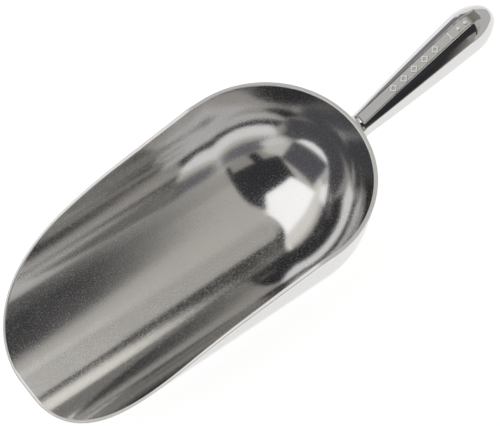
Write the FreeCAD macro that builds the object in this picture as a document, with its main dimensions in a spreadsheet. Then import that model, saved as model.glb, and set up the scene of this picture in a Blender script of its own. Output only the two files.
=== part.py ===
import FreeCAD, Part
import math
import os
import Sketcher

# Ice scoop: a one-piece aluminium casting with a round-heeled trough and a tapered, tilted handle.
# Millimetres and degrees.
#
# Row frame: +X runs from the bowl towards the handle, +Z is up, and Y is across the bowl.
# The origin lies on the surface that the scoop rests on, under the centre of the round heel.
# The scoop is mirror-symmetric about the plane Y = 0.

# Each row is an alias, its value and what it is.
SIZES = [
    ("bowl_width", 112.0, "outer width of the bowl across the heel's rim"),
    ("bowl_depth", 62.0, "height of the heel's rim above the resting surface"),
    ("wall", 2.2, "thickness of the cast wall"),
    ("wall_draft", 5.7, "degrees that each side wall leans outwards"),
    ("floor_flat", 12.0, "width of the flat strip that the bowl rests on"),
    ("trough_length", 151.0, "from the heel's centre to the lip"),
    ("level_rim", 8.7, "level rim in front of the heel's centre"),
    ("rim_slope", 10.5, "degrees that the straight part of the rim falls towards the lip"),
    ("sloping_rim", 44.7, "length of that straight part, measured along X"),
    ("handle_tilt", 22.0, "degrees that the handle rises from the level"),
    ("neck_gap", 4.4, "from the top of the neck up to the rim, at the wall"),
    ("neck_diameter", 13.2, "diameter of the handle at the bowl"),
    ("neck_length", 7.0, "from the bowl's wall to the start of the grip"),
    ("root_fillet", 2.2, "radius where the neck runs into the bowl"),
    ("grip_length", 87.5, "from the neck to the end of the handle"),
    ("grip_diameter", 23.2, "largest diameter of the grip"),
    ("flank_radius", 1500.0, "gentle crowning of the grip along its length"),
    ("shoulder_radius", 22.0, "rounding of the grip towards its end"),
    ("end_radius", 8.5, "rounding at the very end of the grip"),
    ("panel_width", 6.3, "width of the sunk panel along the top of the grip"),
    ("panel_depth", 1.1, "depth of the panel's floor below the crest"),
    ("panel_start", 1.0, "from the neck to the panel"),
    ("panel_end_gap", 6.5, "from the panel to the end of the grip"),
    ("mark_height", 0.45, "height of the raised marks above the panel's floor"),
    ("mark_line", 0.7, "width of the raised lines"),
    ("lozenge_size", 4.6, "size of each raised lozenge, from corner to corner"),
    ("lozenge_pitch", 7.2, "distance between neighbouring lozenges"),
    ("lozenge_start", 24.0, "from the neck to the first lozenge's centre"),
    ("divider_place", 62.5, "from the neck to the raised bar across the panel"),
    ("stud_size", 2.0, "diameter of the two raised studs"),
    ("stud_place", 68.5, "from the neck to the first stud"),
    ("stud_pitch", 4.6, "distance between the studs"),
    ("cut_margin", 6.0, "how far the cutting shapes stand clear of the metal"),
]
LOZENGES = 5
STUDS = 2

doc = FreeCAD.newDocument("ice_scoop")
sheet = doc.addObject("Spreadsheet::Sheet", "sizes")
for row, (alias, value, meaning) in enumerate(SIZES, start=1):
    sheet.set("A%d" % row, alias)
    sheet.set("B%d" % row, str(value))
    sheet.set("C%d" % row, meaning)
    sheet.setAlias("B%d" % row, alias)
doc.recompute()


def size(alias):
    """The value of one cell, as a plain number."""
    return float(getattr(sheet, alias))


def cell(text):
    """An expression in which each $name stands for that cell of the sheet."""
    return text.replace("$", "sizes.")


# Expressions that several sub-parts share.
DRAFT = "($wall_draft * 1deg)"
TILT = "($handle_tilt * 1deg)"
NECK_DROP = "($neck_gap + $neck_diameter / 2 * cos(%s) / cos(%s + %s))" % (DRAFT, TILT, DRAFT)
ROOT_X = "($bowl_width / 2 - %s * tan(%s))" % (NECK_DROP, DRAFT)
ROOT_Z = "($bowl_depth - %s)" % NECK_DROP


def along_handle(distance):
    """Expressions for the X and Z of a point of the handle's axis, measured from the bowl's wall."""
    return ("%s + (%s) * cos(%s)" % (ROOT_X, distance, TILT),
            "%s + (%s) * sin(%s)" % (ROOT_Z, distance, TILT))


def place_on_handle(item, distance, turn, axis):
    """Put an object's own origin on the handle's axis and turn it with the handle."""
    at_x, at_z = along_handle(distance)
    item.Placement = FreeCAD.Placement(FreeCAD.Vector(), FreeCAD.Rotation(axis, 1))
    item.setExpression("Placement.Base.x", cell(at_x))
    item.setExpression("Placement.Base.z", cell(at_z))
    item.setExpression("Placement.Rotation.Angle", cell(turn))


def place_flat_on_handle(item, distance):
    """As above, with local X along the handle and local Z square to it, upwards."""
    place_on_handle(item, distance, TILT, FreeCAD.Vector(0, -1, 0))


def new_body(label):
    body = doc.addObject("PartDesign::Body", label)
    body.Label = label
    return body


def new_sketch(body, name, plane):
    """A sketch on one of the body's own origin planes."""
    sketch = body.newObject("Sketcher::SketchObject", name)
    for feature in body.Origin.OriginFeatures:
        if feature.Role == plane:
            sketch.AttachmentSupport = [(feature, "")]
    sketch.MapMode = "FlatFace"
    return sketch


def point(x, y):
    return FreeCAD.Vector(x, y, 0)


def line(sketch, start, end):
    return sketch.addGeometry(Part.LineSegment(point(*start), point(*end)), False)


def arc(sketch, centre, radius, first, last, construction=False):
    """An arc that runs anticlockwise from the first to the last angle, in degrees."""
    circle = Part.Circle(point(*centre), FreeCAD.Vector(0, 0, 1), radius)
    curve = Part.ArcOfCircle(circle, math.radians(first), math.radians(last))
    return sketch.addGeometry(curve, construction)


def rule(sketch, kind, *where):
    return sketch.addConstraint(Sketcher.Constraint(kind, *where))


def drive(sketch, kind, expression, *where):
    """A dimension that follows the sheet. The last of where is the value it starts from."""
    index = rule(sketch, kind, *where)
    sketch.setExpression("Constraints[%d]" % index, cell(expression))


START, END, CENTRE = 1, 2, 3
ORIGIN = (-1, 1)
VERTICAL_AXIS = -2
HORIZONTAL_AXIS = -1


# ---------------------------------------------------------------------------------------------
# Bowl: one wall section, spun into the heel and drawn out into the trough
# ---------------------------------------------------------------------------------------------

def wall_section(sketch, filled=False):
    """Half of the bowl's section: resting flat, corner arc and leaning wall.

    It is as thick as the wall, or filled up to the rim.
    """
    half, depth, wall = size("bowl_width") / 2, size("bowl_depth"), size("wall")
    lean, flat = math.radians(size("wall_draft")), size("floor_flat") / 2
    sine, cosine = math.sin(lean), math.cos(lean)
    corner = ((half - flat) * cosine - depth * sine) / (1 - sine)

    def touch(radius):
        return (flat + radius * cosine, corner - radius * sine)

    floor = line(sketch, (0, 0), (flat, 0))
    bend = arc(sketch, (flat, corner), corner, -90, -size("wall_draft"))
    side = line(sketch, touch(corner), (half, depth))
    rule(sketch, "Coincident", floor, START, *ORIGIN)
    rule(sketch, "Horizontal", floor)
    rule(sketch, "Tangent", floor, END, bend, START)
    rule(sketch, "Tangent", bend, END, side, START)
    drive(sketch, "DistanceX", "$floor_flat / 2", floor, START, floor, END, flat)
    drive(sketch, "DistanceX", "$bowl_width / 2", *ORIGIN, side, END, half)
    drive(sketch, "DistanceY", "$bowl_depth", *ORIGIN, side, END, depth)
    drive(sketch, "Angle", "90deg - " + DRAFT, side, math.pi / 2 - lean)
    if filled:
        lid = line(sketch, (half, depth), (0, depth))
        core = line(sketch, (0, depth), (0, 0))
        rule(sketch, "Coincident", side, END, lid, START)
        rule(sketch, "Horizontal", lid)
        rule(sketch, "Coincident", lid, END, core, START)
        rule(sketch, "Coincident", core, END, *ORIGIN)
        rule(sketch, "Vertical", core)
        return
    rim = line(sketch, (half, depth), (half - wall / cosine, depth))
    inner_side = line(sketch, (half - wall / cosine, depth), touch(corner - wall))
    inner_bend = arc(sketch, (flat, corner), corner - wall, -90, -size("wall_draft"))
    inner_floor = line(sketch, (flat, wall), (0, wall))
    core = line(sketch, (0, wall), (0, 0))
    rule(sketch, "Coincident", side, END, rim, START)
    rule(sketch, "Horizontal", rim)
    rule(sketch, "Coincident", rim, END, inner_side, START)
    rule(sketch, "Parallel", side, inner_side)
    drive(sketch, "Distance", "$wall", inner_side, START, side, wall)
    rule(sketch, "Tangent", inner_side, END, inner_bend, END)
    rule(sketch, "Coincident", inner_bend, CENTRE, bend, CENTRE)
    rule(sketch, "Tangent", inner_bend, START, inner_floor, START)
    rule(sketch, "Horizontal", inner_floor)
    rule(sketch, "Coincident", inner_floor, END, core, START)
    rule(sketch, "Coincident", core, END, *ORIGIN)
    rule(sketch, "Vertical", core)


def spun_heel(label, filled=False):
    """The wall section spun half a turn about the heel's centre."""
    body = new_body(label)
    section = new_sketch(body, label + "_section", "XZ_Plane")
    wall_section(section, filled)
    spin = body.newObject("PartDesign::Revolution", label + "_spin")
    spin.Profile = section
    spin.ReferenceAxis = (section, ["V_Axis"])
    spin.Angle = 180
    spin.Midplane = True
    return body


def drawn_trough():
    """The wall section drawn forwards to the lip, mirrored, and cut down along the rim's line."""
    body = new_body("bowl_trough")
    section = new_sketch(body, "trough_section", "YZ_Plane")
    wall_section(section)
    pad = body.newObject("PartDesign::Pad", "trough_half")
    pad.Profile = section
    pad.setExpression("Length", cell("$trough_length"))
    pad.Reversed = True
    doc.recompute()
    both = body.newObject("PartDesign::Mirrored", "trough_halves")
    both.Originals = [pad]
    for feature in body.Origin.OriginFeatures:
        if feature.Role == "XZ_Plane":
            both.MirrorPlane = (feature, [""])
    body.Tip = both
    doc.recompute()
    blank_volume = body.Shape.Volume
    above = new_sketch(body, "above_the_rim", "XZ_Plane")
    rim_line(above)
    cut = body.newObject("PartDesign::Pocket", "rim_cut")
    cut.Profile = above
    cut.Type = "ThroughAll"
    cut.Midplane = True
    doc.recompute()
    if not 0 < body.Shape.Volume < blank_volume:
        raise RuntimeError("the rim cut took nothing off the trough")
    return body


def rim_line(sketch):
    """What is cut away above the rim: level, then straight and falling, then an arc to the lip."""
    level, slope_end = -size("level_rim"), -size("level_rim") - size("sloping_rim")
    depth, lip, margin = size("bowl_depth"), -size("trough_length"), size("cut_margin")
    slope = math.radians(size("rim_slope"))
    knee = depth - size("sloping_rim") * math.tan(slope)
    chord = math.hypot(lip - slope_end, knee)
    turn = math.atan2(knee, slope_end - lip) - slope
    nose_radius = chord / (2 * math.sin(turn))
    centre = (slope_end + nose_radius * math.sin(slope), knee - nose_radius * math.cos(slope))

    fall = line(sketch, (level, depth), (slope_end, knee))
    first = 90 + size("rim_slope")
    nose = arc(sketch, centre, nose_radius, first, first + 2 * math.degrees(turn))
    under = line(sketch, (lip, 0), (lip - margin, 0))
    front = line(sketch, (lip - margin, 0), (lip - margin, depth + margin))
    top = line(sketch, (lip - margin, depth + margin), (level, depth + margin))
    back = line(sketch, (level, depth + margin), (level, depth))
    rule(sketch, "Tangent", fall, END, nose, START)
    rule(sketch, "Coincident", nose, END, under, START)
    rule(sketch, "Horizontal", under)
    rule(sketch, "Coincident", under, END, front, START)
    rule(sketch, "Vertical", front)
    rule(sketch, "Coincident", front, END, top, START)
    rule(sketch, "Horizontal", top)
    rule(sketch, "Coincident", top, END, back, START)
    rule(sketch, "Vertical", back)
    rule(sketch, "Coincident", back, END, fall, START)
    drive(sketch, "DistanceX", "$level_rim", fall, START, *ORIGIN, -level)
    drive(sketch, "DistanceY", "$bowl_depth", *ORIGIN, fall, START, depth)
    drive(sketch, "DistanceX", "$sloping_rim", fall, END, fall, START, level - slope_end)
    drive(sketch, "DistanceY", "$sloping_rim * tan($rim_slope * 1deg)",
          fall, END, fall, START, depth - knee)
    drive(sketch, "DistanceX", "$trough_length", nose, END, *ORIGIN, -lip)
    rule(sketch, "PointOnObject", nose, END, HORIZONTAL_AXIS)
    drive(sketch, "DistanceX", "$cut_margin", under, END, under, START, margin)
    drive(sketch, "DistanceY", "$cut_margin", back, END, back, START, margin)


# ---------------------------------------------------------------------------------------------
# Handle: neck, grip with its sunk panel, and the raised marks on the panel's floor
# ---------------------------------------------------------------------------------------------

def crest(sketch, construction):
    """The grip's outline above its axis, without its end: the long flank and the shoulder.

    Returns the two arcs, with their centres and radii as they start out.
    """
    neck, largest = size("neck_diameter") / 2, size("grip_diameter") / 2
    flank_r, shoulder_r, end_r = size("flank_radius"), size("shoulder_radius"), size("end_radius")
    end_centre = size("grip_length") - end_r
    below = shoulder_r - largest
    shoulder_c = (end_centre - math.sqrt((shoulder_r - end_r) ** 2 - below ** 2), -below)
    # The flank passes through the neck's edge and touches the shoulder from outside it.
    gap = (shoulder_c[0], shoulder_c[1] - neck)
    reach = math.hypot(*gap)
    towards = math.atan2(gap[1], gap[0])
    inner = flank_r - shoulder_r
    opening = math.acos((flank_r ** 2 + reach ** 2 - inner ** 2) / (2 * flank_r * reach))
    flank_c = (flank_r * math.cos(towards - opening), neck + flank_r * math.sin(towards - opening))

    def angle(centre, target):
        return math.degrees(math.atan2(target[1] - centre[1], target[0] - centre[0]))

    meeting = angle(flank_c, shoulder_c)
    flank = arc(sketch, flank_c, flank_r, meeting, angle(flank_c, (0, neck)), construction)
    shoulder = arc(sketch, shoulder_c, shoulder_r, angle(shoulder_c, (end_centre, 0)), meeting,
                   construction)
    rule(sketch, "Tangent", flank, START, shoulder, END)
    rule(sketch, "PointOnObject", flank, END, VERTICAL_AXIS)
    drive(sketch, "DistanceY", "$neck_diameter / 2", *ORIGIN, flank, END, neck)
    drive(sketch, "Radius", "$flank_radius", flank, flank_r)
    drive(sketch, "Radius", "$shoulder_radius", shoulder, shoulder_r)
    drive(sketch, "DistanceY", "$shoulder_radius - $grip_diameter / 2",
          shoulder, CENTRE, *ORIGIN, below)
    return (flank, flank_c, flank_r), (shoulder, shoulder_c, shoulder_r)


def grip_outline(sketch, construction=False):
    """The closed half-outline of the grip, or only its curves as construction lines."""
    length, end_r, neck = size("grip_length"), size("end_radius"), size("neck_diameter") / 2
    flank, shoulder = crest(sketch, construction)
    end_centre = (length - end_r, 0)
    last = math.degrees(math.atan2(-shoulder[1][1], end_centre[0] - shoulder[1][0]))
    end = arc(sketch, end_centre, end_r, 0, last, construction)
    rule(sketch, "Tangent", shoulder[0], START, end, END)
    rule(sketch, "PointOnObject", end, CENTRE, HORIZONTAL_AXIS)
    rule(sketch, "PointOnObject", end, START, HORIZONTAL_AXIS)
    drive(sketch, "Radius", "$end_radius", end, end_r)
    drive(sketch, "DistanceX", "$grip_length", *ORIGIN, end, START, length)
    if construction:
        return flank, shoulder
    face = line(sketch, (0, 0), (0, neck))
    core = line(sketch, (length, 0), (0, 0))
    rule(sketch, "Coincident", face, START, *ORIGIN)
    rule(sketch, "Coincident", face, END, flank[0], END)
    rule(sketch, "Coincident", core, START, end, START)
    rule(sketch, "Coincident", core, END, face, START)
    return flank, shoulder


def crest_band(sketch, low, low_text, high, high_text):
    """A band that follows the grip's crest over the panel's length.

    low and high are how far its two edges lie outside the crest; below it they are negative.
    """
    (flank, flank_c, flank_r), (shoulder, shoulder_c, shoulder_r) = grip_outline(sketch, True)
    first, last = size("panel_start"), size("grip_length") - size("panel_end_gap")
    meeting = math.degrees(math.atan2(shoulder_c[1] - flank_c[1], shoulder_c[0] - flank_c[0]))

    def edge(offset, text):
        long_r, short_r = flank_r + offset, shoulder_r + offset
        far = math.degrees(math.acos((first - flank_c[0]) / long_r))
        near = math.degrees(math.acos((last - shoulder_c[0]) / short_r))
        long_arc = arc(sketch, flank_c, long_r, meeting, far)
        short_arc = arc(sketch, shoulder_c, short_r, near, meeting)
        rule(sketch, "Coincident", long_arc, CENTRE, flank, CENTRE)
        rule(sketch, "Coincident", short_arc, CENTRE, shoulder, CENTRE)
        rule(sketch, "Tangent", long_arc, START, short_arc, END)
        drive(sketch, "Radius", "$flank_radius + (%s)" % text, long_arc, long_r)
        height = flank_c[1] + math.sqrt(long_r ** 2 - (first - flank_c[0]) ** 2)
        end_height = shoulder_c[1] + math.sqrt(short_r ** 2 - (last - shoulder_c[0]) ** 2)
        return long_arc, short_arc, height, end_height

    low_long, low_short, low_start, low_end = edge(low, low_text)
    high_long, high_short, high_start, high_end = edge(high, high_text)
    start_wall = line(sketch, (first, low_start), (first, high_start))
    end_wall = line(sketch, (last, low_end), (last, high_end))
    for wall, low_arc, high_arc, corner in ((start_wall, low_long, high_long, END),
                                            (end_wall, low_short, high_short, START)):
        rule(sketch, "Coincident", wall, START, low_arc, corner)
        rule(sketch, "Coincident", wall, END, high_arc, corner)
        rule(sketch, "Vertical", wall)
    drive(sketch, "DistanceX", "$panel_start", *ORIGIN, start_wall, START, first)
    drive(sketch, "DistanceX", "$grip_length - $panel_end_gap", *ORIGIN, end_wall, START, last)


def tapered_grip():
    """The round, swelling grip, with the sunk panel along its top."""
    body = new_body("handle_grip")
    place_flat_on_handle(body, "$neck_length")
    outline = new_sketch(body, "grip_outline", "XZ_Plane")
    grip_outline(outline)
    spin = body.newObject("PartDesign::Revolution", "grip_spin")
    spin.Profile = outline
    spin.ReferenceAxis = (outline, ["H_Axis"])
    spin.Angle = 360
    doc.recompute()
    blank_volume = body.Shape.Volume
    above_floor = new_sketch(body, "above_panel_floor", "XZ_Plane")
    crest_band(above_floor, -size("panel_depth"), "-$panel_depth",
               size("cut_margin"), "$cut_margin")
    panel = body.newObject("PartDesign::Pocket", "panel_cut")
    panel.Profile = above_floor
    panel.setExpression("Length", cell("$panel_width"))
    panel.Midplane = True
    doc.recompute()
    if not 0 < body.Shape.Volume < blank_volume:
        raise RuntimeError("the panel took nothing off the grip")
    return body


def filleted_neck(heel_form):
    """A round bar from the heel's wall to the grip, with a fillet where it leaves the wall."""
    bar = doc.addObject("Part::Cylinder", "neck_bar")
    buried = "($wall + $neck_diameter)"
    bar.setExpression("Radius", cell("$neck_diameter / 2"))
    bar.setExpression("Height", cell("$neck_length + " + buried))
    place_on_handle(bar, "-" + buried, "90deg - " + TILT, FreeCAD.Vector(0, 1, 0))
    joined = doc.addObject("Part::Fuse", "neck_on_heel")
    joined.Base = heel_form
    joined.Tool = bar
    doc.recompute()

    # The fillet is limited by the wall that stands above the neck.
    corner = math.radians(90 - size("handle_tilt") - size("wall_draft"))
    tallest = 0.9 * size("neck_gap") * math.tan(corner / 2)
    radius = min(size("root_fillet"), tallest)
    axis = bar.Placement.Rotation.multVec(FreeCAD.Vector(0, 0, 1))
    root = bar.Placement.Base + axis * (size("wall") + size("neck_diameter"))
    seam = [number for number, edge in enumerate(joined.Shape.Edges, start=1)
            if on_bar(edge, root, axis)]
    blend = doc.addObject("Part::Fillet", "neck_blend")
    blend.Base = joined
    blend.Edges = [(number, radius, radius) for number in seam]
    outside = doc.addObject("Part::Cut", "neck_outside")
    outside.Base = blend
    outside.Tool = heel_form
    doc.recompute()
    # The cut can keep the heel as a solid of its own, so the neck is the solid outside it.
    neck = doc.addObject("Part::Feature", "handle_neck")
    neck.Shape = max(outside.Shape.Solids, key=lambda solid: solid.CenterOfMass.x)
    neck.Label = "handle_neck"
    return neck


def on_bar(edge, root, axis):
    """Whether an edge lies on the neck bar's round surface, where it meets the bowl's wall."""
    radius = size("neck_diameter") / 2
    for place in edge.discretize(5):
        offset = place - root
        along = offset.dot(axis)
        across = (offset - axis * along).Length
        if abs(across - radius) > 0.05 or along > 0.8 * size("neck_length"):
            return False
    return True


def raised_marks():
    """Lozenges, a bar and two studs, cut out of a thin sheet that lies on the panel's floor."""
    sheet_body = new_body("mark_sheet")
    place_flat_on_handle(sheet_body, "$neck_length")
    profile = new_sketch(sheet_body, "mark_sheet_profile", "XZ_Plane")
    crest_band(profile, -size("panel_depth"), "-$panel_depth",
               size("mark_height") - size("panel_depth"), "$mark_height - $panel_depth")
    pad = sheet_body.newObject("PartDesign::Pad", "mark_sheet_pad")
    pad.Profile = profile
    pad.setExpression("Length", cell("$panel_width - 2 * $mark_line"))
    pad.Midplane = True

    stamps = []
    for number in range(LOZENGES):
        at = "$neck_length + $lozenge_start + %d * $lozenge_pitch" % number
        outer = stamp("Part::Prism", "lozenge_outer_%d" % number, at, Polygon="4",
                      Circumradius="$lozenge_size / 2")
        inner = stamp("Part::Prism", "lozenge_inner_%d" % number, at, Polygon="4",
                      Circumradius="$lozenge_size / 2 - $mark_line * sqrt(2)")
        lozenge = doc.addObject("Part::Cut", "lozenge_%d" % number)
        lozenge.Base = outer
        lozenge.Tool = inner
        stamps.append(lozenge)
    divider = stamp("Part::Box", "divider", "$neck_length + $divider_place",
                    Length="$mark_line", Width="$panel_width")
    divider.setExpression("Placement.Base.y", cell("-$panel_width / 2"))
    stamps.append(divider)
    for number in range(STUDS):
        at = "$neck_length + $stud_place + %d * $stud_pitch" % number
        stamps.append(stamp("Part::Cylinder", "stud_%d" % number, at, Radius="$stud_size / 2"))

    together = doc.addObject("Part::Compound", "stamps")
    together.Links = stamps
    marks = doc.addObject("Part::Common", "handle_marks")
    marks.Base = sheet_body
    marks.Tool = together
    marks.Label = "handle_marks"
    doc.recompute()
    return marks


def stamp(kind, name, distance, **sizes):
    """A Part primitive that stands square on the handle's axis and reaches past its crest."""
    item = doc.addObject(kind, name)
    place_flat_on_handle(item, distance)
    item.setExpression("Height", cell("$grip_diameter"))
    for prop, text in sizes.items():
        if text.isdigit():
            setattr(item, prop, int(text))
        else:
            item.setExpression(prop, cell(text))
    return item


# ---------------------------------------------------------------------------------------------
# Build, check and write
# ---------------------------------------------------------------------------------------------

heel = spun_heel("bowl_heel")
trough = drawn_trough()
heel_form = spun_heel("heel_form", filled=True)
grip = tapered_grip()
neck = filleted_neck(heel_form)
marks = raised_marks()
doc.recompute()

for item in doc.Objects:
    if "Invalid" in item.State or "Error" in item.State:
        raise RuntimeError("%s was not built: %s" % (item.Name, item.State))

subparts = {"bowl_heel": 1, "bowl_trough": 1, "handle_neck": 1, "handle_grip": 1,
            "handle_marks": LOZENGES + 1 + STUDS}
os.makedirs("parts", exist_ok=True)
for item in (heel, trough, neck, grip, marks):
    shape = item.Shape
    if shape.isNull() or not shape.isValid():
        raise RuntimeError("%s has no valid shape" % item.Label)
    if len(shape.Solids) != subparts[item.Label]:
        raise RuntimeError("%s has %d solids" % (item.Label, len(shape.Solids)))
    shape.exportStep(os.path.join("parts", item.Label + ".step"))
    box = shape.BoundBox
    print("%-13s %2d solid(s) %9.1f mm3  x %.1f..%.1f  y %.1f..%.1f  z %.1f..%.1f" % (
        item.Label, len(shape.Solids), shape.Volume,
        box.XMin, box.XMax, box.YMin, box.YMax, box.ZMin, box.ZMax))
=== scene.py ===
"""Looks of a cast aluminium ice scoop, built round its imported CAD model."""

import logging
import math
from dataclasses import dataclass, field
from enum import Enum
from typing import Any, Sequence

import bmesh
import bpy
import numpy as np
from mathutils import Matrix, Vector


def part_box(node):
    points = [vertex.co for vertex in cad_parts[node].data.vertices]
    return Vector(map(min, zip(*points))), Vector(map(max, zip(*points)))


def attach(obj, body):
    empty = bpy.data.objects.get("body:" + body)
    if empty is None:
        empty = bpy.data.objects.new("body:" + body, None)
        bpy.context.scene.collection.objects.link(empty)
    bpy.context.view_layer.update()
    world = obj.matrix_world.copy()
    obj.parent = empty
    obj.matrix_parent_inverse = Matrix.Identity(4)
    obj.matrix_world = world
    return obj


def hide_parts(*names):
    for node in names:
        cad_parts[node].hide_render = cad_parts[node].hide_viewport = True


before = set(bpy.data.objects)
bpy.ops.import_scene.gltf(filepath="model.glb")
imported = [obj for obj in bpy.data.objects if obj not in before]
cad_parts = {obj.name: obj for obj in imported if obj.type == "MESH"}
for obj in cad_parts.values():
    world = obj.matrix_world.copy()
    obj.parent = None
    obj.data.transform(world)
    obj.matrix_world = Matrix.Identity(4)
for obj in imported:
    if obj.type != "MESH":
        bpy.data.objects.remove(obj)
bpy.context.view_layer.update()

LOG = logging.getLogger("ice_scoop")
MERGE_DISTANCE = 1e-7
SEAM_DISTANCE = 1e-6
Colour = tuple[float, float, float]
Point = tuple[float, float]


# ------------------------------------------------------------------------------------------
# Shader maths
# ------------------------------------------------------------------------------------------

class Shade:
    """A shader socket that takes part in Python arithmetic."""

    def __init__(self, maker: "NodeMaker", socket: bpy.types.NodeSocket) -> None:
        """Keeps the socket and the maker that adds nodes behind it."""
        self.maker = maker
        self.socket = socket

    def _join(self, operation: str, *values: Any) -> "Shade":
        """Adds one Math node over the values and returns its result."""
        return self.maker.make("ShaderNodeMath", {"operation": operation},
                               {i: v for i, v in enumerate(values)})

    def __add__(self, other: Any) -> "Shade":
        """self + other."""
        return self._join("ADD", self, other)

    def __radd__(self, other: Any) -> "Shade":
        """other + self."""
        return self._join("ADD", other, self)

    def __sub__(self, other: Any) -> "Shade":
        """self - other."""
        return self._join("SUBTRACT", self, other)

    def __rsub__(self, other: Any) -> "Shade":
        """other - self."""
        return self._join("SUBTRACT", other, self)

    def __mul__(self, other: Any) -> "Shade":
        """self * other."""
        return self._join("MULTIPLY", self, other)

    def __rmul__(self, other: Any) -> "Shade":
        """other * self."""
        return self._join("MULTIPLY", other, self)

    def step(self, low: float, high: float) -> "Shade":
        """A smooth 0 to 1 as this value goes from low to high."""
        return self.maker.make("ShaderNodeMapRange", {"interpolation_type": "SMOOTHSTEP"},
                               {"Value": self, "From Min": low, "From Max": high})


class NodeMaker:
    """Adds nodes to one node tree."""

    def __init__(self, tree: bpy.types.NodeTree) -> None:
        """Empties the tree and keeps it."""
        self.tree = tree
        tree.nodes.clear()

    def make(self, kind: str, settings: dict[str, Any] | None = None,
             sockets: dict[Any, Any] | None = None, output: int | str = 0) -> Shade | None:
        """Adds one node.

        Args:
            kind: the node's type.
            settings: its properties, which are set first.
            sockets: values or links by input name or number.
            output: which output to return.

        Returns:
            The chosen output, or None for a node that has no outputs.
        """
        node = self.tree.nodes.new(kind)
        for key, value in (settings or {}).items():
            setattr(node, key, value)
        for key, value in (sockets or {}).items():
            socket = node.inputs[key]
            if isinstance(value, Shade):
                self.tree.links.new(value.socket, socket)
            else:
                socket.default_value = value
        return Shade(self, node.outputs[output]) if node.outputs else None

    def mix_colour(self, factor: Any, first: Any, second: Any) -> Shade:
        """Goes from the first colour to the second one.

        Args:
            factor: how far it goes, from 0 to 1.
            first: a colour or a socket.
            second: a colour or a socket.

        Returns:
            The mixed colour.
        """
        def whole(value: Any) -> Any:
            """Gives a plain colour its alpha."""
            return value if isinstance(value, Shade) else (*value, 1.0)
        return self.make("ShaderNodeMix", {"data_type": "RGBA"},
                         {0: factor, 6: whole(first), 7: whole(second)}, output=2)


# ------------------------------------------------------------------------------------------
# Finishes, with painted shade in the panel's and the marks' colours
# ------------------------------------------------------------------------------------------

@dataclass(frozen=True)
class MetalFinish:
    """One finish of the aluminium; for the sunk panel and the raised marks its colour also
    holds painted shade.

    The grain is fine speckle and the cloud is broad smudging. Both vary the colour and the
    roughness, and the grain gives the relief. specks is how much rougher the grain's
    highest spots are than the metal between them.
    """
    name: str
    colour: Colour
    roughness: float
    grain_scale: float
    grain_height: float
    grain_tone: float
    cloud_scale: float
    cloud_tone: float
    roughness_spread: float
    specks: float = 0.0
    detail: float = 3.0
    grain_mix: float = 0.6
    cloud_mix: float = 0.55
    cloud_twist: float = 0.3
    speck_start: float = 0.56
    speck_full: float = 0.68
    tone_span: float = 0.5

    def material(self) -> bpy.types.Material:
        """Builds the finish as a node material.

        Returns:
            The new material.
        """
        made = bpy.data.materials.new(self.name)
        made.use_nodes = True
        nodes = NodeMaker(made.node_tree)
        place = nodes.make("ShaderNodeTexCoord", output="Object")
        grain = nodes.make("ShaderNodeTexNoise", {"noise_dimensions": "3D"},
                           {"Vector": place, "Scale": self.grain_scale,
                            "Detail": self.detail, "Roughness": self.grain_mix})
        cloud = nodes.make("ShaderNodeTexNoise", {"noise_dimensions": "3D"},
                           {"Vector": place, "Scale": self.cloud_scale,
                            "Detail": self.detail, "Roughness": self.cloud_mix,
                            "Distortion": self.cloud_twist})
        tone = (grain - 0.5) * self.grain_tone + (cloud - 0.5) * self.cloud_tone
        dark = tuple((1 - self.tone_span) * c for c in self.colour)
        light = tuple(min(1.0, (1 + self.tone_span) * c) for c in self.colour)
        shade = nodes.mix_colour(tone + 0.5, dark, light)
        specks = grain.step(self.speck_start, self.speck_full)
        rough = (specks * self.specks + (cloud - 0.5) * self.roughness_spread
                 + self.roughness)
        normal = nodes.make("ShaderNodeBump", {},
                            {"Strength": 1.0, "Distance": self.grain_height, "Height": grain})
        shader = nodes.make("ShaderNodeBsdfPrincipled", {},
                            {"Base Color": shade, "Roughness": rough, "Metallic": 1.0,
                             "Normal": normal})
        nodes.make("ShaderNodeOutputMaterial", {}, {"Surface": shader})
        return made


TUMBLED = MetalFinish(
    "tumbled_inside", (0.70, 0.69, 0.68), roughness=0.11, grain_scale=2000.0,
    grain_height=0.000011, grain_tone=0.12, cloud_scale=60.0, cloud_tone=0.10,
    roughness_spread=0.05, specks=0.2)
GROUND = MetalFinish(
    "ground_rim", (0.95, 0.935, 0.905), roughness=0.38, grain_scale=900.0,
    grain_height=0.00002, grain_tone=0.14, cloud_scale=90.0, cloud_tone=0.06,
    roughness_spread=0.08)
OUTSIDE = MetalFinish(
    "buffed_outside", (0.75, 0.745, 0.73), roughness=0.22, grain_scale=1200.0,
    grain_height=0.00001, grain_tone=0.05, cloud_scale=50.0, cloud_tone=0.03,
    roughness_spread=0.03, specks=0.1)
POLISHED = MetalFinish(
    "polished_grip", (0.76, 0.75, 0.73), roughness=0.07, grain_scale=1200.0,
    grain_height=0.000003, grain_tone=0.03, cloud_scale=60.0, cloud_tone=0.03,
    roughness_spread=0.02)
# Partly real and partly painted shade: the sunk panel's floor is rougher than the grip, and
# its dark grey colour is painted shade of the recess.
SHADED_PANEL = MetalFinish(
    "panel_floor_painted_shade", (0.33, 0.325, 0.315), roughness=0.2, grain_scale=1600.0,
    grain_height=0.00001, grain_tone=0.12, cloud_scale=120.0, cloud_tone=0.08,
    roughness_spread=0.05, specks=0.2)
# Painted shade: the raised marks are the grip's metal, darkened to the sunk panel's grey.
SHADED_MARKS = MetalFinish(
    "raised_marks", (0.46, 0.455, 0.44), roughness=0.16, grain_scale=1600.0,
    grain_height=0.000005, grain_tone=0.08, cloud_scale=120.0, cloud_tone=0.05,
    roughness_spread=0.03)


# ------------------------------------------------------------------------------------------
# Bowl
# ------------------------------------------------------------------------------------------

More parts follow.
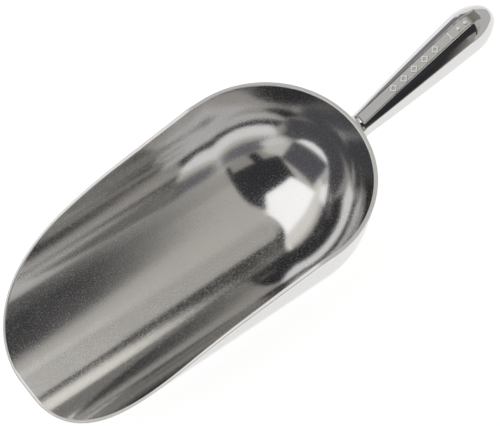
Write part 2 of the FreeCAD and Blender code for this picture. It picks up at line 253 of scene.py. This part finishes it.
@dataclass(frozen=True)
class WallOutline:
    """Half of the trough's cross-section: flat floor, round corner and drafted wall.

    Distances along it start in the middle of the floor. inset is how far it lies inside
    the bowl's outer surface.
    """
    half_width: float
    depth: float
    draft: float
    flat: float
    inset: float

    @property
    def corner(self) -> float:
        """The outer corner's radius, which is also the height of its centre."""
        return ((self.half_width - self.flat) * math.cos(self.draft)
                - self.depth * math.sin(self.draft)) / (1 - math.sin(self.draft))

    @property
    def radius(self) -> float:
        """The corner's radius on this surface."""
        return self.corner - self.inset

    @property
    def turn(self) -> float:
        """The angle through which the corner turns."""
        return math.pi / 2 - self.draft

    @property
    def wall_foot(self) -> Point:
        """Where the straight wall starts."""
        return (self.flat + self.radius * math.cos(self.draft),
                self.corner - self.radius * math.sin(self.draft))

    def point(self, along: np.ndarray) -> tuple[np.ndarray, np.ndarray]:
        """Finds the outline's points.

        Args:
            along: distances along the outline.

        Returns:
            How far across and how far up each point is.
        """
        angle = np.clip((along - self.flat) / self.radius, 0, self.turn)
        rest = np.maximum(along - self.flat - self.radius * self.turn, 0)
        across = np.where(along < self.flat, along, self.flat + self.radius * np.sin(angle))
        up = self.corner - self.radius * np.cos(angle)
        return across + rest * math.sin(self.draft), up + rest * math.cos(self.draft)

    def at_height(self, height: np.ndarray) -> np.ndarray:
        """Finds where the outline reaches a height.

        Args:
            height: the heights.

        Returns:
            Distances along the outline.
        """
        foot = self.wall_foot[1]
        angle = np.arccos(np.clip((self.corner - height) / self.radius, -1, 1))
        on_wall = self.flat + self.radius * self.turn + (height - foot) / math.cos(self.draft)
        return np.where(height < foot, self.flat + self.radius * angle, on_wall)

    def outside(self, place: np.ndarray) -> np.ndarray:
        """Measures from the heel that this outline makes when it is spun.

        Args:
            place: points, with their coordinates on the last axis.

        Returns:
            How far each point lies outside the heel's surface.
        """
        out, up = np.hypot(place[..., 0], place[..., 1]), place[..., 2]
        foot = self.wall_foot
        slope = (math.sin(self.draft), math.cos(self.draft))
        beside = (out - foot[0]) * slope[1] - (up - foot[1]) * slope[0]
        round_it = np.hypot(out - self.flat, up - self.corner) - self.radius
        above = (out - foot[0]) * slope[0] + (up - foot[1]) * slope[1]
        return np.where(above > 0, beside, round_it)


@dataclass(frozen=True)
class RimLine:
    """The rim's height along the bowl: level, then straight and falling, then an arc."""
    depth: float
    lip: float
    level: float = 0.0087
    sloping: float = 0.0447
    slope: float = math.radians(10.5)

    @property
    def nose(self) -> tuple[float, float, float]:
        """The arc that the rim ends in.

        Returns:
            The arc's radius, and its centre's place along the bowl and up.
        """
        start = -self.level - self.sloping
        knee = self.depth - self.sloping * math.tan(self.slope)
        chord = math.hypot(self.lip - start, knee)
        turn = math.atan2(knee, start - self.lip) - self.slope
        radius = chord / (2 * math.sin(turn))
        return (radius, start + radius * math.sin(self.slope),
                knee - radius * math.cos(self.slope))

    def height(self, x: np.ndarray) -> np.ndarray:
        """Finds the rim's height.

        Args:
            x: places along the bowl.

        Returns:
            The height at each place.
        """
        radius, centre_x, centre_z = self.nose
        start = -self.level - self.sloping
        straight = self.depth - np.maximum(-self.level - x, 0) * math.tan(self.slope)
        arc = centre_z + np.sqrt(np.maximum(radius ** 2 - (x - centre_x) ** 2, 0))
        return np.where(x < start, arc, straight)

    def reaches(self, height: float) -> float:
        """Where the arc comes down to a height near the lip."""
        radius, centre_x, centre_z = self.nose
        return centre_x - math.sqrt(radius ** 2 - (height - centre_z) ** 2)


@dataclass(frozen=True)
class BowlSheet:
    """One surface of the bowl, from its middle line up to the rim.

    A rim place from 0 to 1 is on the lip's flat, from 1 to 2 on the trough's side, and
    from 2 to 3 round the heel to its middle. fan is where the chains to the lip start, and
    thinning is how much the wall loses toward the lip.
    """
    outline: WallOutline
    rim: RimLine
    fan: float = -0.095
    thinning: float = 0.0
    thinning_start: float = 0.05

    def thin(self, x: np.ndarray) -> np.ndarray:
        """How far a place along the bowl is down its thinning end, from 0 to 1."""
        return smooth(-x, self.thinning_start * -self.rim.lip, -self.rim.lip)

    def rim_of(self, places: np.ndarray) -> tuple[np.ndarray, np.ndarray, np.ndarray]:
        """Finds where rim places are.

        Args:
            places: the rim places.

        Returns:
            The place along the bowl, the distance along the outline and the angle round the
            heel of each one.
        """
        end = self.rim.reaches(self.outline.inset - self.thinning)
        x = end * (1 - np.clip(places - 1, 0, 1) ** 2)
        height = self.rim.height(x)
        share = np.clip((height - self.outline.inset) / self.outline.corner, 0, 1)
        along = self.outline.at_height(height + self.thinning * self.thin(x) * (1 - share))
        along = np.where(places < 1, self.outline.flat * places, along)
        return x, along, np.clip(places - 2, 0, 1) * math.pi / 2

    def chain(self, places: np.ndarray, shares: np.ndarray) -> np.ndarray:
        """Points on the way from the middle to the rim.

        Args:
            places: the rim places that the chains go to.
            shares: how much of the way is done, one row for each chain.

        Returns:
            Points of shape (chains, shares, 3).
        """
        x, along, angle = (v[:, None] for v in self.rim_of(places))
        across, up = self.outline.point(along * shares)
        start = np.maximum(x, self.fan)
        reach = start + (x - start) * shares
        heel = angle > 0
        moved = self.thinning * self.thin(np.where(heel, 0.0, reach))
        share = np.clip((up - self.outline.inset) / self.outline.corner, 0, 1)
        across, up = across + moved * share, up - moved * (1 - share)
        return np.stack([np.where(heel, across * np.sin(angle), reach),
                         np.where(heel, across * np.cos(angle), across), up], axis=-1)

    def edge(self, places: np.ndarray) -> np.ndarray:
        """The rim's points themselves."""
        return self.chain(places, np.ones((len(places), 1)))[:, 0]

    def reach(self, places: np.ndarray) -> np.ndarray:
        """How long each chain is, measured on the surface."""
        x, along, _ = self.rim_of(places)
        return np.hypot(along, np.minimum(x - self.fan, 0))


class Face(Enum):
    """The bowl's faces, in the order of their materials."""
    OUTSIDE = 0
    RIM = 1
    INSIDE = 2


@dataclass
class Bowl:
    """The bowl: one cast shell with a ground rim.

    edge_softness is the size of the rim's rounded corners, and the counts say how many
    faces each stretch has.
    """
    wall: float = 0.0022
    thinning: float = 0.0012
    draft: float = math.radians(5.7)
    flat: float = 0.006
    edge_softness: float = 0.00045
    lip_steps: int = 5
    side_steps: int = 130
    heel_steps: int = 64
    wall_steps: int = 34
    round_steps: int = 4
    search_steps: int = 6000
    lowest: Vector = field(init=False)
    highest: Vector = field(init=False)

    def __post_init__(self) -> None:
        """Reads the bowl's overall size from the frame."""
        self.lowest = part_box("bowl_trough")[0]
        self.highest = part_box("bowl_heel")[1]

    def sheet(self, inset: float) -> BowlSheet:
        """Makes one of the bowl's two surfaces.

        Args:
            inset: how far it lies inside the outer one.

        Returns:
            The surface.
        """
        outline = WallOutline(self.highest.y, self.highest.z, self.draft, self.flat, inset)
        return BowlSheet(outline, RimLine(self.highest.z, self.lowest.x),
                         thinning=self.thinning if inset else 0.0)

    def rim_places(self, sheet: BowlSheet) -> np.ndarray:
        """Spaces rim places evenly along the sheet's rim.

        Args:
            sheet: the surface whose rim it is.

        Returns:
            The rim places, from the middle of the lip to the middle of the heel.
        """
        fine = np.linspace(1, 2, self.search_steps)
        points = sheet.edge(fine)
        steps = np.linalg.norm(np.diff(points, axis=0), axis=1)
        walked = np.concatenate([[0], np.cumsum(steps)])
        side = np.interp(np.linspace(0, walked[-1], self.side_steps + 1), walked, fine)
        return np.concatenate([np.linspace(0, 1, self.lip_steps + 1)[:-1], side[:-1],
                               np.linspace(2, 3, self.heel_steps + 1)])

    def matching(self, edge: np.ndarray, sheet: BowlSheet, places: np.ndarray) -> np.ndarray:
        """Finds the places on another sheet's rim that lie nearest to a rim's points.

        Args:
            edge: the rim's points.
            sheet: the other sheet.
            places: the rim places of the points.

        Returns:
            The other sheet's rim places.
        """
        fine = np.linspace(1, 2, self.search_steps)
        other = sheet.edge(fine)
        found = places.copy()
        for number in np.flatnonzero((places > 1) & (places < 2)):
            found[number] = fine[np.argmin(np.sum((other - edge[number]) ** 2, axis=1))]
        return found

    def wall_rows(self, sheet: BowlSheet, places: np.ndarray) -> np.ndarray:
        """Finds the points from the sheet's middle to the start of the rim's rounding.

        Args:
            sheet: the surface.
            places: the rim places that the chains go to.

        Returns:
            Points of shape (chains, rows, 3).
        """
        reach = sheet.reach(places)[:, None]
        margin = np.array([[4.0, 2.0, 1.0]]) * self.edge_softness
        near = 1 - margin / reach
        far = np.linspace(0, 1, self.wall_steps)[None, :] * near[:, :1]
        return sheet.chain(places, np.hstack([far, near[:, 1:]]))

    def rounding(self, first: np.ndarray, corner: np.ndarray, last: np.ndarray) -> np.ndarray:
        """Rounds a corner.

        Args:
            first: where each chain's rounding starts.
            corner: the sharp corner.
            last: where the rounding ends.

        Returns:
            Points of shape (chains, rows, 3), without the two ends.
        """
        share = np.linspace(0, 1, self.round_steps + 1)[1:-1][None, :, None]
        a, b, c = first[:, None], corner[:, None], last[:, None]
        return (1 - share) ** 2 * a + 2 * share * (1 - share) * b + share ** 2 * c

    def points(self) -> tuple[np.ndarray, list[Face]]:
        """Finds half the shell's points.

        Returns:
            Points of shape (chains, rows, 3), one chain for each rim place, and the kind of
            face that each row starts.
        """
        outer, inner = self.sheet(0.0), self.sheet(self.wall)
        places = self.rim_places(outer)
        out_edge = outer.edge(places)
        in_places = self.matching(out_edge, inner, places)
        in_edge = inner.edge(in_places)
        out_rows, in_rows = self.wall_rows(outer, places), self.wall_rows(inner, in_places)
        across = in_edge - out_edge
        across /= np.linalg.norm(across, axis=1, keepdims=True)
        soft = self.edge_softness
        land_out, land_in = out_edge + across * soft, in_edge - across * soft
        step = across * 0.2 * soft
        middle = [land_out + step, (land_out + land_in) / 2, land_in - step]
        rows = [out_rows, self.rounding(out_rows[:, -1], out_edge, land_out),
                np.stack([land_out, *middle, land_in], axis=1),
                self.rounding(land_in, in_edge, in_rows[:, -1]), in_rows[:, ::-1]]
        faces = []
        for kind, row in zip((Face.OUTSIDE, Face.RIM, Face.RIM, Face.RIM, Face.INSIDE), rows):
            faces += [kind] * row.shape[1]
        return np.concatenate(rows, axis=1), faces

    def build(self) -> bpy.types.Object:
        """Models the shell and gives it its finishes.

        Returns:
            The finished piece.
        """
        points, faces = self.points()
        chains, rows = points.shape[:2]
        bm = bmesh.new()
        grid = bmesh.ops.create_grid(bm, x_segments=chains - 1, y_segments=rows - 1, size=1.0)
        bm.verts.ensure_lookup_table()
        columns = grid_order(grid["verts"], chains, rows)
        for face in bm.faces:
            low = min(columns[v.index][1] for v in face.verts)
            face.material_index = faces[low].value
        for vert in grid["verts"]:
            chain, row = columns[vert.index]
            vert.co = points[chain, row]
        mirror_across(bm)
        shell = finish_mesh(bm, "bowl_shell", [OUTSIDE, GROUND, TUMBLED])
        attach(shell, "root")
        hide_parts("bowl_heel", "bowl_trough")
        return shell


def grid_order(verts: Sequence[bmesh.types.BMVert], chains: int,
               rows: int) -> dict[int, tuple[int, int]]:
    """Says where the vertices of a new grid belong, by their places in the grid.

    Args:
        verts: the grid's vertices.
        chains: how many chains it has, along X.
        rows: how many rows it has, along Y.

    Returns:
        The chain and row of each vertex's number.
    """
    order = {}
    for vert in verts:
        chain = round((vert.co.x + 1) / 2 * (chains - 1))
        row = round((vert.co.y + 1) / 2 * (rows - 1))
        order[vert.index] = (chain, row)
    return order


def mirror_across(bm: bmesh.types.BMesh) -> None:
    """Adds the other half of a mesh, on the far side of the plane Y = 0."""
    bmesh.ops.mirror(bm, geom=bm.verts[:] + bm.edges[:] + bm.faces[:],
                     matrix=Matrix.Identity(4), merge_dist=SEAM_DISTANCE, axis="Y")


def finish_mesh(bm: bmesh.types.BMesh, name: str,
                finishes: Sequence[MetalFinish]) -> bpy.types.Object:
    """Closes a mesh's seams, turns its faces outwards and makes it a smooth object.

    Args:
        bm: the mesh, which is freed.
        name: the object's name.
        finishes: the finishes of its material numbers.

    Returns:
        The new object, at the origin.
    """
    bmesh.ops.remove_doubles(bm, verts=bm.verts[:], dist=MERGE_DISTANCE)
    bmesh.ops.dissolve_degenerate(bm, edges=bm.edges[:], dist=MERGE_DISTANCE / 10)
    bmesh.ops.recalc_face_normals(bm, faces=bm.faces[:])
    for face in bm.faces:
        face.smooth = True
    mesh = bpy.data.meshes.new(name)
    bm.to_mesh(mesh)
    bm.free()
    for finish in finishes:
        mesh.materials.append(finish.material())
    made = bpy.data.objects.new(name, mesh)
    bpy.context.scene.collection.objects.link(made)
    LOG.info("%s: %d vertices, %d faces", name, len(mesh.vertices), len(mesh.polygons))
    return made


# ------------------------------------------------------------------------------------------
# Handle
# ------------------------------------------------------------------------------------------

@dataclass(frozen=True)
class Crest:
    """The grip's outline above its axis: long flank, shoulder and round end.

    neck and largest are radii across the grip; flank, shoulder and end are the radii of the
    three arcs.
    """
    neck: float = 0.0066
    largest: float = 0.0116
    length: float = 0.0875
    flank: float = 1.5
    shoulder: float = 0.022
    end: float = 0.0085

    @property
    def shoulder_centre(self) -> Point:
        """The shoulder arc's centre.

        Returns:
            Its place along the axis and above it.
        """
        below = self.shoulder - self.largest
        back = math.sqrt((self.shoulder - self.end) ** 2 - below ** 2)
        return self.length - self.end - back, -below

    @property
    def flank_centre(self) -> Point:
        """The flank arc's centre, with the flank through the neck's edge.

        Returns:
            Its place along the axis and above it.
        """
        centre = self.shoulder_centre
        gap = (centre[0], centre[1] - self.neck)
        reach, towards = math.hypot(*gap), math.atan2(gap[1], gap[0])
        inner = self.flank - self.shoulder
        opening = math.acos((self.flank ** 2 + reach ** 2 - inner ** 2)
                            / (2 * self.flank * reach))
        return (self.flank * math.cos(towards - opening),
                self.neck + self.flank * math.sin(towards - opening))

    def radius(self, along: np.ndarray) -> np.ndarray:
        """Finds the grip's radius.

        Args:
            along: distances from the neck.

        Returns:
            The radius at each distance.
        """
        flank, shoulder = self.flank_centre, self.shoulder_centre
        end_centre = self.length - self.end

        def arc(centre: Point, radius: float) -> np.ndarray:
            """The height of one arc."""
            return centre[1] + np.sqrt(np.maximum(radius ** 2 - (along - centre[0]) ** 2, 0))

        meet = math.atan2(shoulder[1] - flank[1], shoulder[0] - flank[0])
        first = shoulder[0] + self.shoulder * math.cos(meet)
        lean = math.atan2(-shoulder[1], end_centre - shoulder[0])
        second = shoulder[0] + self.shoulder * math.cos(lean)
        grip = np.where(along < first, arc(flank, self.flank),
                        np.where(along < second, arc(shoulder, self.shoulder),
                                 arc((end_centre, 0.0), self.end)))
        return np.where(along < 0, self.neck, grip)


@dataclass
class Handle:
    """The handle: a round neck and a swelling grip with a sunk panel along its top.

    neck_gap is how far below the rim the neck leaves the heel, and end_softness is half
    the length over which the panel's ends rise.
    """
    tilt: float = math.radians(22)
    neck_gap: float = 0.0044
    neck_length: float = 0.007
    fillet: float = 0.0022
    panel_start: float = 0.001
    panel_end: float = 0.081
    panel_depth: float = 0.0011
    floor_half: float = 0.0028
    panel_half: float = 0.0034
    end_softness: float = 0.0004
    fillet_steps: int = 7
    row_gap: float = 0.0012
    end_rows: int = 9
    tip_rows: int = 16
    around: int = 40
    buried: float = 0.0003
    heart: float = 0.0009
    search_rounds: int = 40
    probe: float = 1e-6
    crest: Crest = field(default_factory=Crest)
    heel: WallOutline | None = None

    @property
    def along(self) -> Vector:
        """The handle's axis."""
        return Vector((math.cos(self.tilt), 0, math.sin(self.tilt)))

    @property
    def upward(self) -> Vector:
        """Across the axis, up out of the panel."""
        return Vector((-math.sin(self.tilt), 0, math.cos(self.tilt)))

    @property
    def root(self) -> Vector:
        """Where the axis leaves the heel's wall.

        Returns:
            The point.
        """
        drop = self.neck_gap + (self.crest.neck * math.cos(self.heel.draft)
                                / math.cos(self.heel.draft + self.tilt))
        return Vector((self.heel.half_width - drop * math.tan(self.heel.draft), 0,
                       self.heel.depth - drop))

    def place(self, along: Any, across: Any, up: Any) -> np.ndarray:
        """Puts points on the grip's own axes.

        Args:
            along: distances along the grip's axis from its neck.
            across: distances to the side.
            up: distances out of the panel's side.

        Returns:
            Points, with their coordinates on the last axis.
        """
        origin = np.array(self.root + self.along * self.neck_length)
        axis, rise = np.array(self.along), np.array(self.upward)
        along, across, up = np.broadcast_arrays(along, across, up)
        side = np.array([0.0, 1.0, 0.0])
        return (origin + along[..., None] * axis + across[..., None] * side
                + up[..., None] * rise)

    def row_places(self) -> np.ndarray:
        """Spaces the grip's rows, close together at the panel's ends.

        Returns:
            Distances along the axis.
        """
        close = np.linspace(-1.5, 1.5, self.end_rows) * self.end_softness
        first, last = self.panel_start + close, self.panel_end + close
        tail = self.crest.length - self.crest.end * (1 - np.sin(np.linspace(
            math.asin((last[-1] - self.crest.length + self.crest.end) / self.crest.end),
            math.pi / 2, self.tip_rows)))
        steps = int((last[0] - first[-1]) / self.row_gap)
        neck = np.linspace(0, first[0], 3)[:-1]
        return np.concatenate([neck, first, np.linspace(first[-1], last[0], steps)[1:-1],
                               last, tail[1:]])

    def column_angles(self, edge: np.ndarray) -> np.ndarray:
        """Spaces the grip's columns, close together at the panel's wall.

        Args:
            edge: the radius at each row, or at the panel's end beyond it.

        Returns:
            Angles from the crest, one row for each row of the grip.
        """
        inner = np.linspace(0, 1, 7) * self.floor_half / self.panel_half
        rise = np.linspace(inner[-1], 1.0, 8)[1:]
        beyond = np.array([1.06, 1.14, 1.3])
        strip = np.concatenate([inner, rise, beyond])
        opening = np.arcsin(np.clip(self.panel_half / edge, 0, 0.9))[:, None]
        start = opening * strip[-1]
        rest = start + (math.pi - start) * np.linspace(0, 1, self.around)[None, 1:]
        return np.hstack([opening * strip[None, :], rest])

    def grip_points(self) -> np.ndarray:
        """Finds the grip's points on the +Y side.

        Returns:
            Points of shape (rows, columns, 3), from crest to underside.
        """
        along = self.row_places()
        radius = self.crest.radius(along)
        edge = self.crest.radius(np.minimum(along, self.panel_end))
        angle = self.column_angles(edge)
        across, up = radius[:, None] * np.sin(angle), radius[:, None] * np.cos(angle)
        floor = (radius - self.panel_depth)[:, None]
        inside = smooth(across, self.panel_half, self.floor_half)
        ends = (smooth(along, self.panel_start - self.end_softness,
                       self.panel_start + self.end_softness)
                * smooth(along, self.panel_end + self.end_softness,
                         self.panel_end - self.end_softness))[:, None]
        sunk = np.where(angle < math.pi / 2, inside * ends, 0)
        up = up + (np.minimum(floor, up) - up) * sunk
        return self.place(along[:, None], across, up)

    def neck_points(self, angles: np.ndarray) -> np.ndarray:
        """Finds the neck's points, from inside the heel's wall to the grip.

        Args:
            angles: the columns' angles from the crest.

        Returns:
            Points of shape (rows, columns, 3).
        """
        direction = (np.sin(angles)[:, None] * np.array([0.0, 1.0, 0.0])
                     + np.cos(angles)[:, None] * np.array(self.upward))
        axis, base = np.array(self.along), np.array(self.root)
        ball = base + (self.crest.neck + self.fillet) * direction
        low, high = np.full(len(angles), -0.01), np.full(len(angles), 0.02)
        for _ in range(self.search_rounds):
            middle = (low + high) / 2
            near = self.heel.outside(ball + middle[:, None] * axis) < self.fillet
            low, high = np.where(near, middle, low), np.where(near, high, middle)
        centre = ball + low[:, None] * axis
        away = np.stack([(self.heel.outside(centre + step) - self.heel.outside(centre - step))
                         / (2 * self.probe) for step in self.probe * np.eye(3)], axis=-1)
        share = np.linspace(0, 1, self.fillet_steps)[:, None, None]
        lean = -away[None] * (1 - share) - direction[None] * share
        lean /= np.linalg.norm(lean, axis=-1, keepdims=True)
        curve = centre[None] + self.fillet * lean
        buried = (curve[0] - away * self.buried)[None]
        heart = np.broadcast_to(base - axis * self.heart, buried.shape)
        end = base + self.neck_length * axis + self.crest.neck * direction
        straight = curve[-1][None] * (1 - share[1:]) + end[None] * share[1:]
        return np.concatenate([heart, buried, curve, straight[:-1]])

    def build(self) -> bpy.types.Object:
        """Models neck and grip as one bar.

        Returns:
            The finished piece.
        """
        grip = self.grip_points()
        angles = self.column_angles(np.array([self.crest.neck]))[0]
        points = np.concatenate([self.neck_points(angles), grip])
        rows, columns = points.shape[:2]
        bm = bmesh.new()
        grid = bmesh.ops.create_grid(bm, x_segments=rows - 1, y_segments=columns - 1, size=1.0)
        order = grid_order(grid["verts"], rows, columns)
        neck_rows = rows - len(grip)
        along = self.row_places()
        for face in bm.faces:
            row = min(order[v.index][0] for v in face.verts)
            column = min(order[v.index][1] for v in face.verts)
            # Faces on the sunk panel's floor get the material whose dark colour is painted
            # shade.
            on_shaded_floor = (row >= neck_rows and column < 6
                        and self.panel_start < along[row - neck_rows] < self.panel_end)
            face.material_index = 1 if on_shaded_floor else 0
        for vert in grid["verts"]:
            vert.co = points[order[vert.index]]
        mirror_across(bm)
        bar = finish_mesh(bm, "handle_bar", [POLISHED, SHADED_PANEL])
        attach(bar, "root")
        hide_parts("handle_neck", "handle_grip")
        return bar


def smooth(value: Any, low: float, high: float) -> np.ndarray:
    """Eases from 0 to 1 as a value goes from low to high.

    Args:
        value: the value, or an array of them.
        low: where it is still 0.
        high: where it reaches 1.

    Returns:
        The eased share.
    """
    share = np.clip((value - low) / (high - low), 0, 1)
    return share * share * (3 - 2 * share)


# ------------------------------------------------------------------------------------------
# Studio
# ------------------------------------------------------------------------------------------

class Tint(Enum):
    """The colours of the studio's light."""
    WARM = (1.04, 1.0, 0.93)
    NEUTRAL = (1.01, 1.0, 0.99)
    COOL = (0.99, 0.97, 1.08)


@dataclass(frozen=True)
class Panel:
    """A plain panel of the studio: a softbox where it is bright, a card where it is dark.

    Its corners are where it would lie on a sheet one metre over the object, anticlockwise
    seen from above. softness is the width of its edge, in degrees.
    """
    name: str
    strength: float
    tint: Tint
    corners: tuple[Point, ...]
    softness: float = 2.0

    def mask(self, nodes: NodeMaker, way: Shade) -> Shade:
        """Adds the nodes that say how much of the panel lies in a direction.

        Args:
            nodes: the world's node maker.
            way: the direction.

        Returns:
            The share, from 0 to 1.
        """
        soft = math.sin(math.radians(self.softness))
        inside: Any = 1.0
        points = [Vector((x, y, 1.0)) for x, y in self.corners]
        for here, there in zip(points, points[1:] + points[:1]):
            side = nodes.make("ShaderNodeVectorMath", {"operation": "DOT_PRODUCT"},
                              {0: way, 1: here.cross(there).normalized()}, "Value")
            inside = side.step(-soft / 2, soft / 2) * inside
        return inside


PANELS = (
    Panel("ceiling", 0.54, Tint.WARM, ((-2.2, -0.9), (0.62, -0.9), (0.62, 1.3),
                                       (-2.2, 1.3)), 6),
    Panel("front_right", 0.46, Tint.WARM, ((0.2, -3.0), (0.75, -3.0), (0.75, -0.85),
                                           (0.2, -0.85)), 5),
    Panel("back_high", 0.85, Tint.WARM, ((-2.4, 0.6), (0.2, 0.55), (0.22, 1.02),
                                         (-2.4, 1.02)), 5),
    Panel("back_low", 0.24, Tint.COOL, ((0.34, 1.4), (0.62, 2.3), (0.62, 4.0), (-1.0, 30.0),
                                        (-20.0, 30.0), (-2.6, 1.04)), 5),
    Panel("back_left_light", 1.15, Tint.NEUTRAL, ((-1.25, 0.85), (-1.25, 2.6), (-8.0, 8.0),
                                                  (-4.0, 2.0), (-2.0, 0.9)), 5),
    Panel("back_light", 1.0, Tint.NEUTRAL, ((1.0, 2.3), (2.3, 1.1), (30.0, 14.0),
                                            (3.0, 40.0), (0.2, 2.6)), 4),
    Panel("left_card", 0.11, Tint.COOL, ((-20.0, -10.0), (-1.4, -1.0), (-1.35, 0.42),
                                         (-20.0, 5.0)), 4),
    Panel("front_low", 0.34, Tint.WARM, ((-1.5, -1.0), (-6.0, -30.0), (0.5, -30.0),
                                         (0.24, -1.0)), 4),
    Panel("front_left_light", 0.66, Tint.WARM, ((-1.7, -1.15), (-8.0, -4.5), (-10.0, -14.0),
                                                (-1.5, -3.0), (-1.2, -1.5)), 6),
    Panel("front_slot", 0.03, Tint.COOL, ((-0.8, -1.1), (-2.1, -9.0), (-0.85, -9.0),
                                          (-0.47, -1.1)), 3),
    Panel("front_stripe", 0.05, Tint.COOL, ((0.21, -1.1), (0.36, -2.4), (0.56, -2.4),
                                            (0.365, -1.1)), 1.0),
    Panel("front_grey", 0.24, Tint.WARM, ((0.335, -0.72), (0.52, -1.9), (0.585, -1.95),
                                          (0.37, -0.85)), 0.8),
    Panel("front_card", 0.04, Tint.COOL, ((-1.5, -1.2), (0.378, -1.2), (0.232, -0.2),
                                          (0.13, 0.14), (-1.0, -0.1)), 1.5),
    Panel("near_wall", 0.22, Tint.WARM, ((0.24, 1.1), (0.5, 1.1), (0.75, 2.6),
                                         (0.8, 5.0), (0.36, 2.6)), 2),
    Panel("side_gleam", 1.15, Tint.WARM, ((0.2, 0.6), (0.25, 0.7), (0.30, 0.92),
                                          (0.335, 1.2), (0.28, 1.2), (0.235, 0.95),
                                          (0.2, 0.78)), 0.8),
    Panel("side_strip_low", 0.05, Tint.WARM, ((0.17, 0.44), (0.4, 0.44), (0.4, 0.9),
                                              (0.33, 0.9), (0.24, 0.67), (0.17, 0.48)), 0.8),
    Panel("side_strip_high", 0.06, Tint.WARM, ((0.33, 0.82), (0.4, 0.6), (0.5, 1.3),
                                               (0.4, 1.3)), 0.8),
    Panel("softbox", 1.32, Tint.NEUTRAL, ((-0.9, -0.2), (-0.1, -0.14), (0.17, 0.24),
                                          (0.17, 0.6), (-1.25, 0.62)), 2),
)


@dataclass
class Studio:
    """Camera, pale floor and soft light."""
    lens: float = 181.57
    location: tuple[float, float, float] = (-0.3900, -0.4788, 1.1704)
    right: tuple[float, float, float] = (0.80017, -0.59960, 0.01481)
    above: tuple[float, float, float] = (0.52247, 0.70894, 0.47374)
    back: tuple[float, float, float] = (-0.29455, -0.37134, 0.88054)
    sensor: float = 36.0
    surroundings: float = 0.58
    floor_radius: float = 60.0
    floor_drop: float = 0.0002
    floor_grey: float = 0.6
    floor_glow: float = 0.75
    panels: tuple[Panel, ...] = PANELS

    def camera(self) -> bpy.types.Object:
        """Adds the camera.

        Returns:
            The camera, which is the scene's own from here on.
        """
        data = bpy.data.cameras.new("camera")
        data.lens, data.sensor_width = self.lens, self.sensor
        data.clip_start, data.clip_end = 0.05, 50.0
        made = bpy.data.objects.new("camera", data)
        turn = Matrix((self.right, self.above, self.back)).transposed().to_4x4()
        made.matrix_world = Matrix.Translation(self.location) @ turn
        bpy.context.scene.collection.objects.link(made)
        bpy.context.scene.camera = made
        return made

    def floor(self) -> bpy.types.Object:
        """Adds the plain pale floor.

        Returns:
            The floor.
        """
        bm = bmesh.new()
        bmesh.ops.create_circle(bm, cap_ends=True, segments=96, radius=self.floor_radius)
        bmesh.ops.translate(bm, verts=bm.verts[:], vec=(0, 0, -self.floor_drop))
        mesh = bpy.data.meshes.new("floor")
        bm.to_mesh(mesh)
        bm.free()
        paper = bpy.data.materials.new("pale_floor")
        paper.use_nodes = True
        nodes = NodeMaker(paper.node_tree)
        shader = nodes.make("ShaderNodeBsdfPrincipled", {},
                            {"Base Color": (*(self.floor_grey,) * 3, 1.0), "Roughness": 1.0,
                             "Specular IOR Level": 0.0, "Emission Color": (1.0, 1.0, 1.0, 1.0),
                             "Emission Strength": self.floor_glow})
        nodes.make("ShaderNodeOutputMaterial", {}, {"Surface": shader})
        paper.cycles.emission_sampling = "NONE"
        mesh.materials.append(paper)
        made = bpy.data.objects.new("floor", mesh)
        bpy.context.scene.collection.objects.link(made)
        return made

    def light(self) -> None:
        """Surrounds the object with grey and soft lights, and the camera with white."""
        world = bpy.data.worlds.new("studio")
        bpy.context.scene.world = world
        world.use_nodes = True
        nodes = NodeMaker(world.node_tree)
        way = nodes.make("ShaderNodeTexCoord", output="Generated")
        seen_colour: Any = tuple(self.surroundings * c for c in Tint.NEUTRAL.value)
        for panel in self.panels:
            colour = tuple(panel.strength * c for c in panel.tint.value)
            seen_colour = nodes.mix_colour(panel.mask(nodes, way), seen_colour, colour)
            LOG.info("studio panel %s: %.2f", panel.name, panel.strength)
        to_camera = nodes.make("ShaderNodeLightPath", output="Is Camera Ray")
        colour = nodes.mix_colour(to_camera, seen_colour, (1.0, 1.0, 1.0))
        shader = nodes.make("ShaderNodeBackground", {}, {"Color": colour, "Strength": 1.0})
        nodes.make("ShaderNodeOutputWorld", {}, {"Surface": shader})

    def build(self) -> None:
        """Sets the whole stage."""
        self.camera()
        self.floor()
        self.light()
        bpy.context.scene.view_settings.view_transform = "Standard"


def dress_nodes() -> None:
    """Gives the CAD nodes, of which only the raised marks still show, a metal finish whose
    dark colour is painted shade.
    """
    finish = SHADED_MARKS.material()
    for name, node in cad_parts.items():
        for place in node.material_slots:
            place.material = finish
        LOG.info("%s: dressed as %s", name, finish.name)


def main() -> None:
    """Builds the scoop's pieces and its studio."""
    logging.basicConfig(level=logging.INFO, format="%(name)s: %(message)s")
    bowl = Bowl()
    bowl.build()
    Handle(heel=bowl.sheet(0.0).outline).build()
    dress_nodes()
    Studio().build()


if __name__ == "__main__":
    main()
